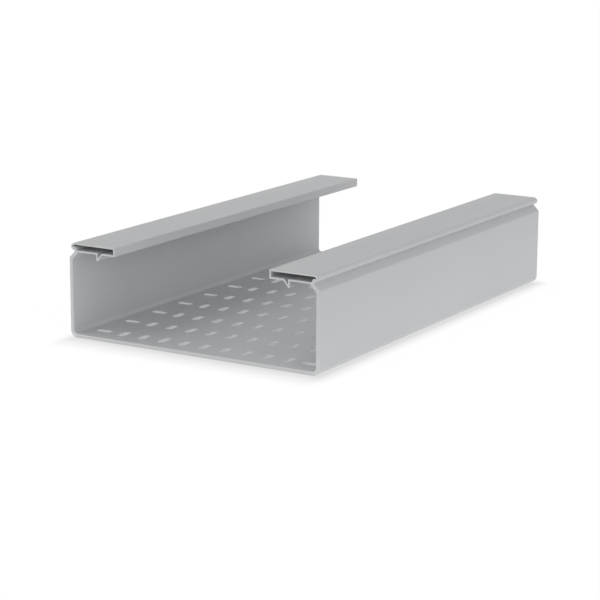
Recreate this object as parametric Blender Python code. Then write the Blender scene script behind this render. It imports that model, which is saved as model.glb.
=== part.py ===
# Perforated plastic cable tray: one extruded channel with two hollow rims and a slotted floor.
# Metres, Z up. The origin is at the bottom centre, X runs across the tray and Y along it.

import math

import bmesh
import bpy
from mathutils import Matrix, Vector

# Overall size of the cut length
WIDTH = 0.300
HEIGHT = 0.100
LENGTH = 0.500

# Floor and side walls
WALL = 0.0038
BASE_RADIUS = 0.0070
FLOOR_FILLET = 0.0040

# Hollow rim on top of each wall, measured inwards from the wall's outer face and down from the top
RIM_WIDTH = 0.0572
RIM_HEIGHT = 0.0094
RIM_SKIN = 0.0018
RIM_EDGE_RADIUS = 0.0006

# Shoulder where the wall leans in at 45 degrees under the cover groove
GROOVE_INSET = 0.0070
GROOVE_DROP = 0.0085
SHOULDER_RADIUS = 0.0030

# Nose that the cover's hooked edge clips under
NOSE_INSET = 0.0023
NOSE_CHAMFER_RUN = 0.0031
NOSE_CHAMFER_DROP = 0.0023
NOSE_FACE = 0.0034
NOSE_RADIUS = 0.0014
NOSE_LIP = 0.0017
NOSE_NECK = 0.0024

# Folded rib under the rim, upright on the wall side and sloping up over the run on the other
RIB_INSET = 0.0340
RIB_DEPTH = 0.0066
RIB_RUN = 0.0055
RIB_TIP_RADIUS = 0.0006
RIB_ROOT_RADIUS = 0.0012

# Slots punched through the floor
SLOT_LENGTH = 0.0180
SLOT_WIDTH = 0.0080
SLOT_PITCH_ACROSS = 0.0250
SLOT_PITCH_ALONG = 0.0500
SLOT_SIDE_MARGIN = 0.0250
SLOT_END_MARGIN = 0.0250
SLOT_END_SEGMENTS = 6

# Finish of the extruded plastic
PLASTIC_COLOUR = (0.52, 0.53, 0.53, 1.0)
PLASTIC_ROUGHNESS = 0.45

# Fineness of the arcs, reach of a cutter past what it cuts, and slack for welding and counting
ARC_STEP = math.radians(15)
SHARP_ANGLE = math.radians(40)
CUT_MARGIN = 0.002
WELD = 0.000001
ROUNDING = 0.001
SQRT_2 = math.sqrt(2)


def clear_scene():
    """Remove every object of the scene that the file opens with."""
    for obj in list(bpy.data.objects):
        bpy.data.objects.remove(obj, do_unlink=True)


def new_collection(name):
    collection = bpy.data.collections.new(name)
    bpy.context.scene.collection.children.link(collection)
    return collection


def plastic():
    """Light grey rigid plastic with a satin surface."""
    material = bpy.data.materials.new("grey_plastic")
    material.use_nodes = True
    shader = material.node_tree.nodes["Principled BSDF"]
    shader.inputs["Base Color"].default_value = PLASTIC_COLOUR
    shader.inputs["Roughness"].default_value = PLASTIC_ROUGHNESS
    shader.inputs["Metallic"].default_value = 0.0
    return material


def corner_arc(before, corner, after, radius):
    """Points that round one corner of an outline with an arc tangent to both of its sides."""
    if radius == 0:
        return [corner]
    back = (before - corner).normalized()
    ahead = (after - corner).normalized()
    half_angle = back.angle(ahead) / 2
    centre = corner + (back + ahead).normalized() * radius / math.sin(half_angle)
    spoke = corner + back * radius / math.tan(half_angle) - centre
    turn = math.pi - 2 * half_angle
    if back.cross(ahead) > 0:
        turn = -turn
    steps = max(1, round(abs(turn) / ARC_STEP))
    return [centre + Matrix.Rotation(turn * i / steps, 2) @ spoke for i in range(steps + 1)]


def rounded(corners):
    """Points of a closed outline whose corners are given as (x, y, radius)."""
    places = [Vector(corner[:2]) for corner in corners]
    points = []
    for i, (_, _, radius) in enumerate(corners):
        after = places[(i + 1) % len(places)]
        points += corner_arc(places[i - 1], places[i], after, radius)
    return points


def on_right(corners):
    """Corners measured inwards from the right wall's outer face, turned into places across the tray."""
    return [(WIDTH / 2 - inset, height, radius) for inset, height, radius in corners]


def mirrored(corners):
    return [(-x, height, radius) for x, height, radius in reversed(corners)]


def wall_and_rim():
    """Corners of one side as (inset, height, radius), from under the floor round to its top face."""
    rim_bottom = HEIGHT - RIM_HEIGHT
    groove = HEIGHT - GROOVE_DROP
    nose_top = HEIGHT - NOSE_CHAMFER_DROP
    slant = WALL * SQRT_2
    rib_bottom = rim_bottom - RIB_DEPTH
    rib_tip = RIB_INSET + RIM_SKIN
    return [
        (0, 0, BASE_RADIUS),
        (0, groove - GROOVE_INSET, SHOULDER_RADIUS),
        (GROOVE_INSET, groove, 0),
        (NOSE_INSET, nose_top - NOSE_FACE, NOSE_RADIUS),
        (NOSE_INSET, nose_top, RIM_EDGE_RADIUS),
        (NOSE_INSET + NOSE_CHAMFER_RUN, HEIGHT, RIM_EDGE_RADIUS),
        (RIM_WIDTH, HEIGHT, RIM_EDGE_RADIUS),
        (RIM_WIDTH, rim_bottom, RIM_EDGE_RADIUS),
        (rib_tip + RIB_RUN, rim_bottom, RIB_ROOT_RADIUS),
        (rib_tip, rib_bottom, RIB_TIP_RADIUS),
        (RIB_INSET, rib_bottom, RIB_TIP_RADIUS),
        (RIB_INSET, rim_bottom, RIB_TIP_RADIUS),
        (rim_bottom - groove + GROOVE_INSET + slant, rim_bottom, SHOULDER_RADIUS),
        (WALL, groove - GROOVE_INSET + WALL - slant, SHOULDER_RADIUS),
        (WALL, WALL, FLOOR_FILLET),
    ]


def rim_hollow():
    """Corners of the hollow inside one rim, one skin in from the faces round it."""
    rim_bottom = HEIGHT - RIM_HEIGHT
    top = HEIGHT - RIM_SKIN
    bottom = rim_bottom + RIM_SKIN
    inner = RIM_WIDTH - RIM_SKIN
    rib_face = RIB_INSET + RIM_SKIN
    rib_slope = RIB_DEPTH / RIB_RUN
    rib_floor = rim_bottom - RIB_DEPTH + RIM_SKIN * math.sqrt(1 + rib_slope**2)
    nose_front = NOSE_INSET + RIM_SKIN
    nose_floor = HEIGHT - NOSE_CHAMFER_DROP - NOSE_FACE + NOSE_LIP
    neck_foot = GROOVE_INSET + NOSE_NECK
    slope = NOSE_CHAMFER_DROP / NOSE_CHAMFER_RUN
    stretch = math.sqrt(1 + slope**2)
    chamfer_foot = HEIGHT - NOSE_CHAMFER_DROP + RIM_SKIN * (slope - stretch)
    chamfer_head = NOSE_INSET + NOSE_CHAMFER_RUN + RIM_SKIN * (stretch - 1) / slope
    return [
        (inner, top, 0),
        (inner, bottom, 0),
        (rib_face + (bottom - rib_floor) / rib_slope, bottom, 0),
        (rib_face, rib_floor, 0),
        (rib_face, bottom, 0),
        (neck_foot, bottom, 0),
        (neck_foot - (nose_floor - bottom) / 2, nose_floor, 0),
        (nose_front, nose_floor, 0),
        (nose_front, chamfer_foot, 0),
        (chamfer_head, top, 0),
    ]


def flat_curve(name, outlines, thickness):
    """A filled flat shape with the given closed outlines, extruded to a thickness about its plane."""
    curve = bpy.data.curves.new(name, "CURVE")
    curve.dimensions = "2D"
    curve.fill_mode = "BOTH"
    curve.extrude = thickness / 2
    for outline in outlines:
        spline = curve.splines.new("POLY")
        spline.points.add(len(outline) - 1)
        for point, (x, y) in zip(spline.points, outline):
            point.co = (x, y, 0, 1)
        spline.use_cyclic_u = True
    return bpy.data.objects.new(name, curve)


def evaluated_mesh(obj):
    """A new mesh of the object as its curve settings or its modifiers shape it."""
    bpy.context.view_layer.update()
    graph = bpy.context.evaluated_depsgraph_get()
    return bpy.data.meshes.new_from_object(obj.evaluated_get(graph))


def as_mesh(drawn, collection):
    """The curve object made a closed mesh object of the same name, with its caps welded on."""
    name = drawn.name
    collection.objects.link(drawn)
    mesh = evaluated_mesh(drawn)
    welded = bmesh.new()
    welded.from_mesh(mesh)
    bmesh.ops.remove_doubles(welded, verts=welded.verts, dist=WELD)
    bmesh.ops.recalc_face_normals(welded, faces=welded.faces)
    welded.to_mesh(mesh)
    welded.free()
    place = drawn.matrix_world.copy()
    bpy.data.objects.remove(drawn, do_unlink=True)
    mesh.name = name
    solid = bpy.data.objects.new(name, mesh)
    solid.matrix_world = place
    collection.objects.link(solid)
    return solid


def make_profile(collection):
    """The channel as it leaves the die: its section extruded along Y, with both rims hollow."""
    side = on_right(wall_and_rim())
    hollow = on_right(rim_hollow())
    outlines = [rounded(side + mirrored(side)), rounded(hollow), rounded(mirrored(hollow))]
    drawn = flat_curve("tray", outlines, LENGTH)
    drawn.rotation_euler = (math.pi / 2, 0, 0)
    return as_mesh(drawn, collection)


def spread(extent, margin, pitch):
    """Places at the pitch, centred on zero, that keep at least the margin from both ends."""
    count = math.floor((extent - 2 * margin) / pitch + ROUNDING) + 1
    return [(i - (count - 1) / 2) * pitch for i in range(count)]


def slot_outline(x, y, turn):
    """A slot with full round ends at (x, y), along Y when turn is 0."""
    radius = SLOT_WIDTH / 2
    reach = SLOT_LENGTH / 2 - radius
    points = []
    for end in (1, -1):
        for i in range(SLOT_END_SEGMENTS + 1):
            angle = math.pi * i / SLOT_END_SEGMENTS
            points.append(end * Vector((radius * math.cos(angle), reach + radius * math.sin(angle))))
    spin = Matrix.Rotation(turn, 2)
    return [spin @ point + Vector((x, y)) for point in points]


def make_slots(collection):
    """Cutter for the floor: rows of slots along the tray, with the outermost of each row turned across."""
    columns = spread(WIDTH, SLOT_SIDE_MARGIN, SLOT_PITCH_ACROSS)
    outlines = []
    for y in spread(LENGTH, SLOT_END_MARGIN, SLOT_PITCH_ALONG):
        for x in columns:
            outermost = x in (columns[0], columns[-1])
            outlines.append(slot_outline(x, y, math.pi / 2 if outermost else 0))
    drawn = flat_curve("floor_slots", outlines, WALL + 2 * CUT_MARGIN)
    drawn.location = (0, 0, WALL / 2)
    cutter = as_mesh(drawn, collection)
    cutter.hide_render = True
    cutter.display_type = "WIRE"
    return cutter


def make_tray(parts, cutters):
    """The finished tray: slots punched right through the floor, then arcs shaded smooth."""
    tray = make_profile(parts)
    tray.data.materials.append(plastic())
    punch = tray.modifiers.new("punch_slots", "BOOLEAN")
    punch.operation = "DIFFERENCE"
    punch.solver = "EXACT"
    punch.object = make_slots(cutters)
    tray.data = evaluated_mesh(tray)
    tray.modifiers.remove(punch)
    tray.data.shade_smooth()
    tray.data.set_sharp_from_angle(angle=SHARP_ANGLE)
    return tray


clear_scene()
make_tray(new_collection("cable_tray"), new_collection("cutters"))
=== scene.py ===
import math

import bmesh
import bpy
from mathutils import Matrix, Vector


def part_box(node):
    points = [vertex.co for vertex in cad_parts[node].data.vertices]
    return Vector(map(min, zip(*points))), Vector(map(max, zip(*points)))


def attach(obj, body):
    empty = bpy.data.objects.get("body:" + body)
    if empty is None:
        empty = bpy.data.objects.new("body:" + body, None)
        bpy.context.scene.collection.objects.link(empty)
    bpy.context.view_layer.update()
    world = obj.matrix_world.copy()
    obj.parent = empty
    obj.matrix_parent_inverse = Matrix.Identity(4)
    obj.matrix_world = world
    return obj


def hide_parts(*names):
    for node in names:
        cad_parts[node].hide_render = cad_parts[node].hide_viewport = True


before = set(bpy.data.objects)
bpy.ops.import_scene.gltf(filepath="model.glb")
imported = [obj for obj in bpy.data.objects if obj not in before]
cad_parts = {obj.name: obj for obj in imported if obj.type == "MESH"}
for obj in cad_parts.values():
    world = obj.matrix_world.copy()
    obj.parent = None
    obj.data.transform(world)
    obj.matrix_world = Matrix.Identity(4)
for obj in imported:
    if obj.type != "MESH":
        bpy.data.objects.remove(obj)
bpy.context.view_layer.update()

# The tray
# One piece of rigid grey plastic, extruded through a die as a channel with a hollow rim along each wall,
# punched through its floor with rows of slots for screws and cable ties, and sawn off square at both ends.

low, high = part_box("tray")
WIDTH = high.x - low.x
HEIGHT = high.z - low.z
LENGTH = high.y - low.y

WALL = 0.0038
BASE_RADIUS = 0.0070
FLOOR_FILLET = 0.0040

RIM_WIDTH = 0.0572
RIM_HEIGHT = 0.0094
RIM_SKIN = 0.0018
RIM_EDGE_RADIUS = 0.0006

GROOVE_INSET = 0.0070
GROOVE_DROP = 0.0085
GROOVE_ROOT_RADIUS = 0.0004
SHOULDER_RADIUS = 0.0030

NOSE_INSET = 0.0023
NOSE_CHAMFER_RUN = 0.0031
NOSE_CHAMFER_DROP = 0.0023
NOSE_FACE = 0.0034
NOSE_RADIUS = 0.0014
NOSE_LIP = 0.0017
NOSE_NECK = 0.0024

RIB_INSET = 0.0340
RIB_DEPTH = 0.0066
RIB_RUN = 0.0055
RIB_TIP_RADIUS = 0.0006
RIB_ROOT_RADIUS = 0.0012

HOLLOW_RADIUS = 0.0003
ARC_STEP = math.radians(7.5)
LEAST_STEPS = 2
WELD = 0.000001
SQRT_2 = math.sqrt(2)


def corner_arc(before, corner, after, radius):
    """Points that round one corner of an outline with an arc tangent to both of its sides."""
    back = (before - corner).normalized()
    ahead = (after - corner).normalized()
    half_angle = back.angle(ahead) / 2
    centre = corner + (back + ahead).normalized() * radius / math.sin(half_angle)
    spoke = corner + back * radius / math.tan(half_angle) - centre
    turn = math.pi - 2 * half_angle
    if back.cross(ahead) > 0:
        turn = -turn
    steps = max(LEAST_STEPS, round(abs(turn) / ARC_STEP))
    return [centre + Matrix.Rotation(turn * i / steps, 2) @ spoke for i in range(steps + 1)]


def rounded(corners):
    """Points of a closed outline whose corners are given as (x, y, radius)."""
    places = [Vector(corner[:2]) for corner in corners]
    points = []
    for i, (_, _, radius) in enumerate(corners):
        after = places[(i + 1) % len(places)]
        points += corner_arc(places[i - 1], places[i], after, radius)
    return points


def on_right(corners):
    """Corners measured inwards from the right wall's outer face, turned into places across the tray."""
    return [(WIDTH / 2 - inset, height, radius) for inset, height, radius in corners]


def mirrored(corners):
    return [(-x, height, radius) for x, height, radius in reversed(corners)]


def wall_and_rim():
    """Corners of one side as (inset, height, radius), from under the floor round to its top face."""
    rim_bottom = HEIGHT - RIM_HEIGHT
    groove = HEIGHT - GROOVE_DROP
    nose_top = HEIGHT - NOSE_CHAMFER_DROP
    slant = WALL * SQRT_2
    rib_bottom = rim_bottom - RIB_DEPTH
    rib_tip = RIB_INSET + RIM_SKIN
    return [
        (0, 0, BASE_RADIUS),
        (0, groove - GROOVE_INSET, SHOULDER_RADIUS),
        (GROOVE_INSET, groove, GROOVE_ROOT_RADIUS),
        (NOSE_INSET, nose_top - NOSE_FACE, NOSE_RADIUS),
        (NOSE_INSET, nose_top, RIM_EDGE_RADIUS),
        (NOSE_INSET + NOSE_CHAMFER_RUN, HEIGHT, RIM_EDGE_RADIUS),
        (RIM_WIDTH, HEIGHT, RIM_EDGE_RADIUS),
        (RIM_WIDTH, rim_bottom, RIM_EDGE_RADIUS),
        (rib_tip + RIB_RUN, rim_bottom, RIB_ROOT_RADIUS),
        (rib_tip, rib_bottom, RIB_TIP_RADIUS),
        (RIB_INSET, rib_bottom, RIB_TIP_RADIUS),
        (RIB_INSET, rim_bottom, RIB_TIP_RADIUS),
        (rim_bottom - groove + GROOVE_INSET + slant, rim_bottom, SHOULDER_RADIUS),
        (WALL, groove - GROOVE_INSET + WALL - slant, SHOULDER_RADIUS),
        (WALL, WALL, FLOOR_FILLET),
    ]


def rim_hollow():
    """Corners of the hollow inside one rim, one skin in from the faces round it."""
    rim_bottom = HEIGHT - RIM_HEIGHT
    top = HEIGHT - RIM_SKIN
    bottom = rim_bottom + RIM_SKIN
    inner = RIM_WIDTH - RIM_SKIN
    rib_face = RIB_INSET + RIM_SKIN
    rib_slope = RIB_DEPTH / RIB_RUN
    rib_floor = rim_bottom - RIB_DEPTH + RIM_SKIN * math.sqrt(1 + rib_slope**2)
    nose_front = NOSE_INSET + RIM_SKIN
    nose_floor = HEIGHT - NOSE_CHAMFER_DROP - NOSE_FACE + NOSE_LIP
    neck_foot = GROOVE_INSET + NOSE_NECK
    slope = NOSE_CHAMFER_DROP / NOSE_CHAMFER_RUN
    stretch = math.sqrt(1 + slope**2)
    chamfer_foot = HEIGHT - NOSE_CHAMFER_DROP + RIM_SKIN * (slope - stretch)
    chamfer_head = NOSE_INSET + NOSE_CHAMFER_RUN + RIM_SKIN * (stretch - 1) / slope
    places = [
        (inner, top),
        (inner, bottom),
        (rib_face + (bottom - rib_floor) / rib_slope, bottom),
        (rib_face, rib_floor),
        (rib_face, bottom),
        (neck_foot, bottom),
        (neck_foot - (nose_floor - bottom) / 2, nose_floor),
        (nose_front, nose_floor),
        (nose_front, chamfer_foot),
        (chamfer_head, top),
    ]
    return [(inset, height, HOLLOW_RADIUS) for inset, height in places]


def added(name, data):
    """A new object of the scene, made from a drawing, a mesh, a light or a lens."""
    obj = bpy.data.objects.new(name, data)
    bpy.context.scene.collection.objects.link(obj)
    return obj


def evaluated_mesh(obj):
    """A new mesh of the object as its curve settings or its modifiers shape it."""
    bpy.context.view_layer.update()
    graph = bpy.context.evaluated_depsgraph_get()
    return bpy.data.meshes.new_from_object(obj.evaluated_get(graph))


def extruded(name, outlines, thickness):
    """A closed mesh of the flat shape inside the outlines, extruded along Z about its own plane."""
    drawing = bpy.data.curves.new(name, "CURVE")
    drawing.dimensions = "2D"
    drawing.fill_mode = "BOTH"
    drawing.extrude = thickness / 2
    for outline in outlines:
        spline = drawing.splines.new("POLY")
        spline.points.add(len(outline) - 1)
        for point, (x, y) in zip(spline.points, outline):
            point.co = (x, y, 0, 1)
        spline.use_cyclic_u = True
    drawn = added(name, drawing)
    mesh = evaluated_mesh(drawn)
    bpy.data.objects.remove(drawn, do_unlink=True)
    welded = bmesh.new()
    welded.from_mesh(mesh)
    bmesh.ops.remove_doubles(welded, verts=welded.verts, dist=WELD)
    bmesh.ops.recalc_face_normals(welded, faces=welded.faces)
    welded.to_mesh(mesh)
    welded.free()
    return mesh


# The channel as it leaves the die
side = on_right(wall_and_rim())
hollow = on_right(rim_hollow())
section = [rounded(side + mirrored(side)), rounded(hollow), rounded(mirrored(hollow))]
profile = extruded("grey_tray", section, LENGTH)
profile.transform(Matrix.Rotation(math.pi / 2, 4, "X"))
tray = added("grey_tray", profile)

# The slots, with the outermost of each row turned across the tray
SLOT_LENGTH = 0.0180
SLOT_WIDTH = 0.0080
SLOT_PITCH_ACROSS = 0.0250
SLOT_PITCH_ALONG = 0.0500
SLOT_COLUMNS = 11
SLOT_ROWS = 10
SLOT_END_SEGMENTS = 12
PUNCH_REACH = 0.002


def spread(count, pitch):
    return [(i - (count - 1) / 2) * pitch for i in range(count)]


def slot_outline(x, y, turn):
    """A slot with full round ends at (x, y), along Y when turn is 0."""
    radius = SLOT_WIDTH / 2
    reach = SLOT_LENGTH / 2 - radius
    points = []
    for end in (1, -1):
        for i in range(SLOT_END_SEGMENTS + 1):
            angle = math.pi * i / SLOT_END_SEGMENTS
            points.append(end * Vector((radius * math.cos(angle), reach + radius * math.sin(angle))))
    spin = Matrix.Rotation(turn, 2)
    return [spin @ point + Vector((x, y)) for point in points]


slots = []
columns = spread(SLOT_COLUMNS, SLOT_PITCH_ACROSS)
for y in spread(SLOT_ROWS, SLOT_PITCH_ALONG):
    for x in columns:
        outermost = x in (columns[0], columns[-1])
        slots.append(slot_outline(x, y, math.pi / 2 if outermost else 0))
punch_mesh = extruded("punch", slots, WALL + 2 * PUNCH_REACH)
punch_mesh.transform(Matrix.Translation((0, 0, WALL / 2)))
punch = added("punch", punch_mesh)

punching = tray.modifiers.new("punching", "BOOLEAN")
punching.operation = "DIFFERENCE"
punching.solver = "EXACT"
punching.object = punch
tray.data = evaluated_mesh(tray)
tray.modifiers.remove(punching)
bpy.data.objects.remove(punch, do_unlink=True)

# Edges where saw and punch meet the smooth faces, barely broken by handling
EDGE_BREAK = 0.0002
EDGE_SEGMENTS = 2
EDGE_ANGLE = math.radians(40)

tray.data.shade_smooth()
tray.data.set_sharp_from_angle(angle=EDGE_ANGLE)
breaking = tray.modifiers.new("edge_break", "BEVEL")
breaking.width = EDGE_BREAK
breaking.segments = EDGE_SEGMENTS
breaking.limit_method = "ANGLE"
breaking.angle_limit = EDGE_ANGLE
breaking.harden_normals = True
tray.data = evaluated_mesh(tray)
tray.modifiers.remove(breaking)

# The smooth skin: light neutral grey right through, satin from the die, which draws faint lines along
# the length, while the colour drifts a little with the mix
SKIN_GREY = (0.538, 0.545, 0.554)
SKIN_DRIFT = 0.03
SKIN_DRIFT_SIZE = (0.09, 0.18, 0.09)
SKIN_ROUGHNESS = (0.44, 0.54)
DIE_LINE = (0.0011, 0.25, 0.0011)
DIE_LINE_DEPTH = 0.000012
PLASTIC_SHINE = 0.25

# The cut faces: paler and rougher, with the fine marks of the saw or of the shear. The punched slot walls
# are paler still, partly as sheared plastic and partly as painted light standing in for light from under
# the slots
CUT_ROUGHNESS = (0.55, 0.72)
SAWN_GREY = (0.545, 0.555, 0.56)
SAW_MARK = (0.00035, 0.00035, 0.012)
SAW_DEPTH = 0.00002
# Punched slot walls: sheared plastic, made paler still with painted light, as if lit from under the slots
PUNCHED_GREY_PAINTED_LIGHTER = (0.59, 0.60, 0.605)
SHEAR_MARK = (0.0004, 0.0004, 0.003)
SHEAR_DEPTH = 0.00003

# The noise behind both: its usual range, and how fine it is in the drift and in the marks
USUAL_NOISE = (0.3, 0.7)
DRIFT_DETAIL = 2
MARK_DETAIL = 3


def streaks(tree, size, detail):
    """Noise in the object's own space, as long as the given sizes along X, Y and Z."""
    place = tree.nodes.new("ShaderNodeTexCoord")
    stretch = tree.nodes.new("ShaderNodeMapping")
    stretch.inputs["Scale"].default_value = [1 / length for length in size]
    noise = tree.nodes.new("ShaderNodeTexNoise")
    noise.inputs["Scale"].default_value = 1
    noise.inputs["Detail"].default_value = detail
    tree.links.new(place.outputs["Object"], stretch.inputs["Vector"])
    tree.links.new(stretch.outputs["Vector"], noise.inputs["Vector"])
    return noise.outputs["Fac"]


def ramp(tree, value, reach, ends):
    """A number that goes from one end to the other as the value goes through its reach."""
    band = tree.nodes.new("ShaderNodeMapRange")
    for socket, bound in zip(("From Min", "From Max", "To Min", "To Max"), (*reach, *ends)):
        band.inputs[socket].default_value = bound
    tree.links.new(value, band.inputs["Value"])
    return band.outputs["Result"]


def grey_finish(name, grey, marks, roughness, depth):
    """Grey plastic whose colour drifts slowly and whose roughness and relief follow its marks."""
    finish = bpy.data.materials.new(name)
    finish.use_nodes = True
    tree = finish.node_tree
    shader = tree.nodes["Principled BSDF"]
    shader.inputs["Specular IOR Level"].default_value = PLASTIC_SHINE
    cloud = streaks(tree, SKIN_DRIFT_SIZE, DRIFT_DETAIL)
    tint = tree.nodes.new("ShaderNodeMix")
    tint.data_type = "RGBA"
    tint.inputs["A"].default_value = [c * (1 - SKIN_DRIFT / 2) for c in grey] + [1]
    tint.inputs["B"].default_value = [c * (1 + SKIN_DRIFT / 2) for c in grey] + [1]
    tree.links.new(ramp(tree, cloud, USUAL_NOISE, (0, 1)), tint.inputs["Factor"])
    tree.links.new(tint.outputs["Result"], shader.inputs["Base Color"])
    lines = streaks(tree, marks, MARK_DETAIL)
    tree.links.new(ramp(tree, lines, USUAL_NOISE, roughness), shader.inputs["Roughness"])
    relief = tree.nodes.new("ShaderNodeBump")
    relief.inputs["Distance"].default_value = depth
    tree.links.new(lines, relief.inputs["Height"])
    tree.links.new(relief.outputs["Normal"], shader.inputs["Normal"])
    return finish


tray.data.materials.clear()
for finish in (
    grey_finish("grey_skin", SKIN_GREY, DIE_LINE, SKIN_ROUGHNESS, DIE_LINE_DEPTH),
    grey_finish("sawn_plastic", SAWN_GREY, SAW_MARK, CUT_ROUGHNESS, SAW_DEPTH),
    grey_finish("punched_plastic_painted_lighter", PUNCHED_GREY_PAINTED_LIGHTER, SHEAR_MARK, CUT_ROUGHNESS, SHEAR_DEPTH),
):
    tray.data.materials.append(finish)

# Which faces the saw and the punch made, the rest being skin
SAWN_INDEX = 1
PUNCHED_INDEX = 2
UPRIGHT = 0.1

for face in tray.data.polygons:
    across_end = abs(face.center.y) > LENGTH / 2 - EDGE_BREAK / 2
    in_floor = 0 < face.center.z < WALL and abs(face.center.x) < columns[-1] + SLOT_LENGTH
    if across_end:
        face.material_index = SAWN_INDEX
    elif in_floor and abs(face.normal.z) < UPRIGHT:
        face.material_index = PUNCHED_INDEX

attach(tray, "root")
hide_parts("tray")

# The floor
# A matt white studio floor that runs out of sight and is clear when seen from under it. The camera sees
# it white, with a faint real shadow of the tray and a painted contact shadow, a soft dark edge round the
# tray, weaker to the left and behind.

FLOOR_SIZE = 60
FLOOR_DROP = 0.0001
TOUCHING = 0.001
FLOOR_WHITE = 0.9
SEEN_MATT = 0.06
SEEN_GLOW = 0.96

# The painted contact shadow, a dark edge painted round the tray: how far it reaches on each side, and how
# far inside the left and far sides it starts
RIGHT_SHADOW_REACH = 0.021
NEAR_SHADOW_REACH = 0.048
LEFT_SHADOW_REACH = 0.018
LEFT_SHADOW_INSET = 0.007
FAR_SHADOW_REACH = 0.028
FAR_SHADOW_INSET = 0.010
PAINTED_SHADOW_DEPTH = 0.29
PAINTED_SHADOW_FALL = 1.6

bpy.ops.mesh.primitive_plane_add(size=FLOOR_SIZE)
floor = bpy.context.object
floor.name = "floor"
floor.location.z = -FLOOR_DROP
matt_white = bpy.data.materials.new("matt_white_floor")
matt_white.use_nodes = True
floor_tree = matt_white.node_tree
floor_tree.nodes.clear()


def worked_out(tree, kind, operation, values):
    """A node that does one step of arithmetic, on sockets of other nodes or on plain numbers."""
    step = tree.nodes.new(kind)
    step.operation = operation
    for socket, value in zip(step.inputs, values):
        if isinstance(value, bpy.types.NodeSocket):
            tree.links.new(value, socket)
        else:
            socket.default_value = value
    return step


def number(tree, operation, *values):
    return worked_out(tree, "ShaderNodeMath", operation, values).outputs["Value"]


def vector(tree, operation, *values):
    return worked_out(tree, "ShaderNodeVectorMath", operation, values).outputs["Vector"]


def reaches_past(tree, place, corner, reach):
    """How far a place lies past a corner towards +X and towards +Y, in reaches of the painted shadow."""
    past = vector(tree, "SUBTRACT", place, (*corner, 0))
    past = vector(tree, "MAXIMUM", past, (0, 0, 0))
    return vector(tree, "DIVIDE", past, (*reach, 1))


def painted_contact_shadow(tree):
    """How dark the painted contact shadow is at a place: 1 at the tray, falling to 0 where its reach ends.
    """
    spot = tree.nodes.new("ShaderNodeTexCoord").outputs["Object"]
    turned = vector(tree, "SUBTRACT", (0, 0, 0), spot)
    far_right = (WIDTH / 2, LENGTH / 2 - FAR_SHADOW_INSET)
    near_left = (WIDTH / 2 - LEFT_SHADOW_INSET, LENGTH / 2)
    right_and_far = reaches_past(tree, spot, far_right, (RIGHT_SHADOW_REACH, FAR_SHADOW_REACH))
    left_and_near = reaches_past(tree, turned, near_left, (LEFT_SHADOW_REACH, NEAR_SHADOW_REACH))
    both = vector(tree, "ADD", right_and_far, left_and_near)
    reaches = worked_out(tree, "ShaderNodeVectorMath", "LENGTH", [both]).outputs["Value"]
    return number(tree, "POWER", ramp(tree, reaches, (0, 1), (1, 0)), PAINTED_SHADOW_FALL)


def matt(tree, paleness):
    shader = tree.nodes.new("ShaderNodeBsdfDiffuse")
    shader.inputs["Color"].default_value = (paleness, paleness, paleness, 1)
    return shader.outputs["BSDF"]


def either(tree, factor, first, second):
    """The first shader where the factor is 0 and the second where it is 1."""
    mix = tree.nodes.new("ShaderNodeMixShader")
    for socket, value in zip(mix.inputs, (factor, first, second)):
        tree.links.new(value, socket)
    return mix.outputs["Shader"]


ray = floor_tree.nodes.new("ShaderNodeLightPath").outputs
side_met = floor_tree.nodes.new("ShaderNodeNewGeometry").outputs
white = floor_tree.nodes.new("ShaderNodeEmission").outputs["Emission"]
clear = floor_tree.nodes.new("ShaderNodeBsdfTransparent").outputs["BSDF"]
glow = floor_tree.nodes.new("ShaderNodeEmission")
# The floor's white as the camera sees it, darkened near the tray by the painted contact shadow
white_less_painted_shadow = ramp(floor_tree, painted_contact_shadow(floor_tree), (0, 1), (SEEN_GLOW, SEEN_GLOW * (1 - PAINTED_SHADOW_DEPTH)))
floor_tree.links.new(white_less_painted_shadow, glow.inputs["Strength"])
seen = floor_tree.nodes.new("ShaderNodeAddShader")
floor_tree.links.new(matt(floor_tree, SEEN_MATT), seen.inputs[0])
floor_tree.links.new(glow.outputs["Emission"], seen.inputs[1])

reflected = number(floor_tree, "MAXIMUM", ray["Is Glossy Ray"], ray["Is Transmission Ray"])
unseen = either(floor_tree, reflected, matt(floor_tree, FLOOR_WHITE), white)
above = either(floor_tree, ray["Is Camera Ray"], unseen, seen.outputs["Shader"])
touched = number(floor_tree, "LESS_THAN", ray["Ray Length"], TOUCHING)
let_through = number(floor_tree, "MAXIMUM", side_met["Backfacing"], touched)
output = floor_tree.nodes.new("ShaderNodeOutputMaterial")
floor_tree.links.new(either(floor_tree, let_through, above, clear), output.inputs["Surface"])
floor.data.materials.append(matt_white)

# The room
# An evenly lit pale room. Only what the camera or a reflection sees of it is pure white.

ROOM_LIGHT = 0.43

room = bpy.data.worlds.new("room")
bpy.context.scene.world = room
room.use_nodes = True
room_tree = room.node_tree
walls = room_tree.nodes["Background"]
walls.inputs["Color"].default_value = (1, 1, 1, 1)
walls.inputs["Strength"].default_value = ROOM_LIGHT
white_walls = room_tree.nodes.new("ShaderNodeBackground")
white_walls.inputs["Color"].default_value = (1, 1, 1, 1)
ray = room_tree.nodes.new("ShaderNodeLightPath").outputs
reflected = number(room_tree, "MAXIMUM", ray["Is Glossy Ray"], ray["Is Transmission Ray"])
shown = number(room_tree, "MAXIMUM", reflected, ray["Is Camera Ray"])
view = either(room_tree, shown, walls.outputs["Background"], white_walls.outputs["Background"])
room_tree.links.new(view, room_tree.nodes["World Output"].inputs["Surface"])

# The lamps
# Very large soft lamps far off, a long low soft box in front of the near end, a light table of flat panels
# round the tray and under it, and faint strips in and under the rims. None of them is seen itself.

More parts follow.
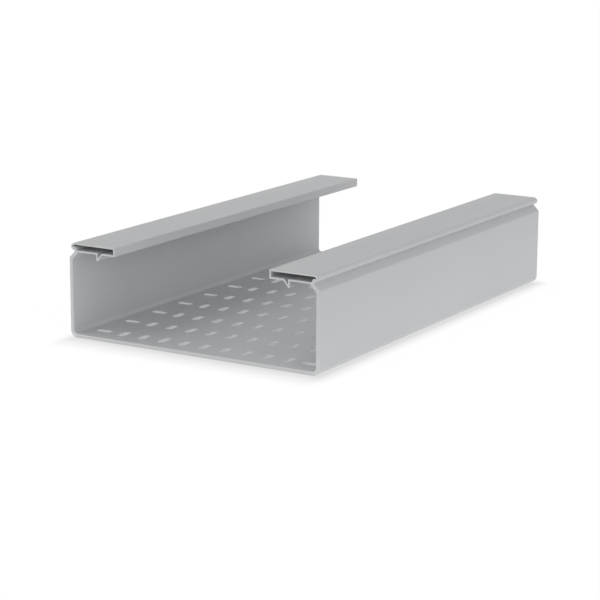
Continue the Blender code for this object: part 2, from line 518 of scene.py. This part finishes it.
# The far lamps: azimuth and elevation in degrees, and strength
SOFT_ANGLE = math.radians(50)
FAR_LAMPS = (
    ("right_lamp", 0, 22, 0.165),
    ("front_right_lamp", 305, 15, 0.135),
    ("high_left_lamp", 205, 60, 0.20),
)

# The soft box, which shines along the tray from its near end
BOX_SIZE = (2.0, 0.16)
BOX_PLACE = (0, -3.0, 0.085)
BOX_WATTS = 6.9

# The panels: those at the sides start under the rounded bottom edges, the near and far ones off the ends
PANEL_WIDTH = 0.2
PANEL_TUCK = 0.0055
PANEL_GAP = 0.0005
PANEL_OVERHANG = 0.4
PANEL_HEIGHT = 0.0002
PANEL_GLOW = 0.42
FRONT_GLOW = 0.365
UNDER_GLOW = 0.63
UNDER_EDGE_WIDTH = 0.030
UNDER_EDGE_GLOW = 0.77


def hidden_lamp(name, kind, power):
    """A lamp that lights the tray but that no camera sees."""
    light = bpy.data.lights.new(name, kind)
    light.energy = power
    lamp = added(name, light)
    lamp.visible_camera = False
    return lamp


def flat_lamp(name, size, place, tip, power):
    """A hidden flat lamp of the given width and length, tipped about X from shining straight down."""
    lamp = hidden_lamp(name, "AREA", power)
    lamp.data.shape = "RECTANGLE"
    lamp.data.size, lamp.data.size_y = size
    lamp.location = place
    lamp.rotation_euler.x = tip
    return lamp


def level_lamp(name, size, place, tip, glow_strength):
    """A flat lamp close to the tray, which glows evenly and shows in no gloss."""
    lamp = flat_lamp(name, size, place, tip, glow_strength * math.pi * size[0] * size[1])
    lamp.visible_glossy = False


for name, azimuth, elevation, strength in FAR_LAMPS:
    lamp = hidden_lamp(name, "SUN", strength * math.pi)
    lamp.data.angle = SOFT_ANGLE
    lamp.rotation_euler = (math.radians(90 - elevation), 0, math.radians(90 + azimuth))

flat_lamp("low_soft_box", BOX_SIZE, BOX_PLACE, math.pi / 2, BOX_WATTS)

beside = WIDTH / 2 - PANEL_TUCK + PANEL_WIDTH / 2
behind = LENGTH / 2 + PANEL_GAP + PANEL_WIDTH / 2
side_length = LENGTH + 2 * PANEL_OVERHANG
under_edge = WIDTH / 2 - BASE_RADIUS - UNDER_EDGE_WIDTH / 2
for name, x, y, width, length, glow_strength in (
    ("right_panel", beside, 0, PANEL_WIDTH, side_length, PANEL_GLOW),
    ("left_panel", -beside, 0, PANEL_WIDTH, side_length, PANEL_GLOW),
    ("back_panel", 0, behind, WIDTH, PANEL_WIDTH, PANEL_GLOW),
    ("front_panel", 0, -behind, WIDTH, PANEL_WIDTH, FRONT_GLOW),
    ("under_panel", 0, 0, 2 * under_edge - UNDER_EDGE_WIDTH, LENGTH, UNDER_GLOW),
    ("under_right_panel", under_edge, 0, UNDER_EDGE_WIDTH, LENGTH, UNDER_EDGE_GLOW),
    ("under_left_panel", -under_edge, 0, UNDER_EDGE_WIDTH, LENGTH, UNDER_EDGE_GLOW),
):
    level_lamp(name, (width, length), (x, y, PANEL_HEIGHT), math.pi, glow_strength)

# Along the roof of each hollow rim, and between its rib and the wall, so that no corner there goes black:
# each strip's outer and inner inset, its drop from the top of the tray and its glow
RIM_STRIPS = (
    ("hollow_strip", 0.0041, 0.0554, 0.0023, 0.038),
    ("wall_strip", 0.0085, 0.0335, 0.0140, 0.14),
)

for name, outer, inner, drop, glow_strength in RIM_STRIPS:
    for side_name, way in (("right", 1), ("left", -1)):
        place = (way * (WIDTH / 2 - (outer + inner) / 2), 0, HEIGHT - drop)
        level_lamp(side_name + "_" + name, (inner - outer, LENGTH), place, 0, glow_strength)

# The camera
# A long lens at the front right, a little above the rims.

CAMERA_PLACE = (1.12346, -1.90324, 0.52193)
CAMERA_AZIMUTH = math.radians(31.057)
CAMERA_TILT = math.radians(13.081)
CAMERA_ROLL = math.radians(0.313)
LENS_MM = 123.11
SENSOR_MM = 36

lens = bpy.data.cameras.new("camera")
lens.lens = LENS_MM
lens.sensor_width = SENSOR_MM
camera = added("camera", lens)
swing = Matrix.Rotation(CAMERA_AZIMUTH, 4, "Z")
tilt = Matrix.Rotation(math.pi / 2 - CAMERA_TILT, 4, "X")
roll = Matrix.Rotation(CAMERA_ROLL, 4, "Z")
camera.matrix_world = Matrix.Translation(CAMERA_PLACE) @ swing @ tilt @ roll
bpy.context.scene.camera = camera

bpy.context.scene.view_settings.view_transform = "Standard"
